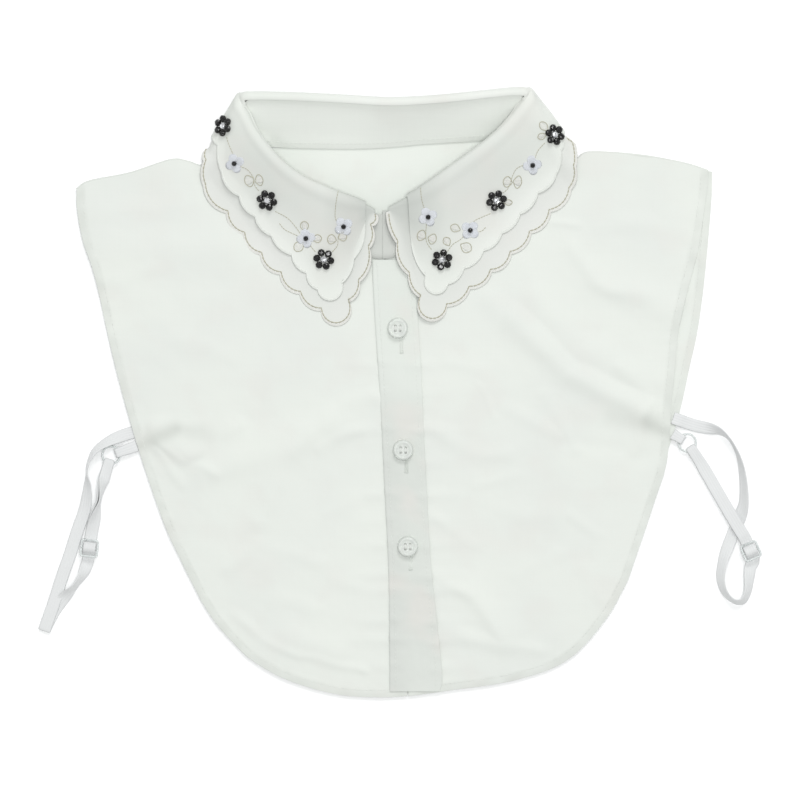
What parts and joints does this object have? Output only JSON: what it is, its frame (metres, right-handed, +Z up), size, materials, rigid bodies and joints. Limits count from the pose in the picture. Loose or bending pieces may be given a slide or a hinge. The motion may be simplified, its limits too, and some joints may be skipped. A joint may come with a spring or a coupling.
{
  "type": "detachable shirt collar",
  "caption": "Detachable cotton shirt collar laid flat: two bib panels, button placket, stand, two-layer scalloped leaf with stone flowers and elastic side straps.",
  "frame": {"origin": "on the table, under the middle of the whole garment as it lies", "axes": "+Z up from the table, +Y towards the back of the neck, +X to the right as seen from above, which is the wearer's left"},
  "size_m": [0.4128, 0.3472, 0.02],
  "materials": {
    "cotton": "fine plain-weave white cotton, slightly see-through",
    "button": "glossy, milky white",
    "stone": "faceted, polished black round a clear one",
    "elastic": "ribbed white elastic tape",
    "nylon": "clear to milky nylon"
  },
  "bodies": {
    "root": {"back_panel": "cotton", "front_right": "cotton", "front_left": "cotton", "placket": "cotton", "collar_stand": "cotton", "collar_under": "cotton", "collar_upper": "cotton", "button_1": "button", "button_2": "button", "button_3": "button", "stone_flower_1": "stone", "stone_flower_2": "stone", "stone_flower_3": "stone", "stone_flower_4": "stone", "stone_flower_5": "stone", "stone_flower_6": "stone", "strap_right": "elastic", "strap_left": "elastic", "ring_tab_right": "elastic", "ring_tab_left": "elastic", "ring_right": "nylon", "ring_left": "nylon", "slider_right": "nylon", "slider_left": "nylon"}
  },
  "joints": []
}
